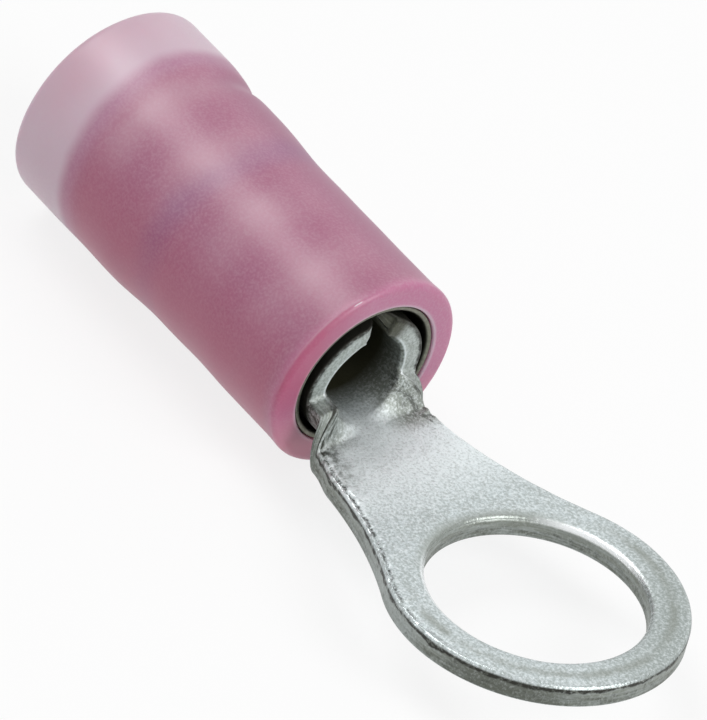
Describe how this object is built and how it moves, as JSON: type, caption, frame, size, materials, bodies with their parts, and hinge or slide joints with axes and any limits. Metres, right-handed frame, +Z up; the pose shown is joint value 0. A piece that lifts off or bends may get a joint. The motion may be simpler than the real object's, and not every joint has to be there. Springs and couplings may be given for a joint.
{
  "type": "ring terminal",
  "caption": "Insulated ring terminal: a tinned ring tongue with a rolled wire barrel, a metal support sleeve and a translucent pink nylon insulation sleeve.",
  "frame": {"origin": "centre of the stud hole, in the plane of the tongue's underside", "axes": "+X from the wire entry towards the ring's tip, along the barrel's axis; +Z up, away from the face the ring seats on; the tongue rises 4.5 degrees towards +X"},
  "size_m": [0.0198, 0.0068, 0.0052],
  "materials": {
    "tinned_copper": "matt tin plating over copper, fine grain",
    "tinned_tube": "satin tin plating over copper alloy",
    "nylon": "translucent pink nylon, satin"
  },
  "bodies": {
    "root": {"terminal_body": "tinned_copper", "support_sleeve": "tinned_tube", "insulation_sleeve": "nylon"}
  },
  "joints": []
}
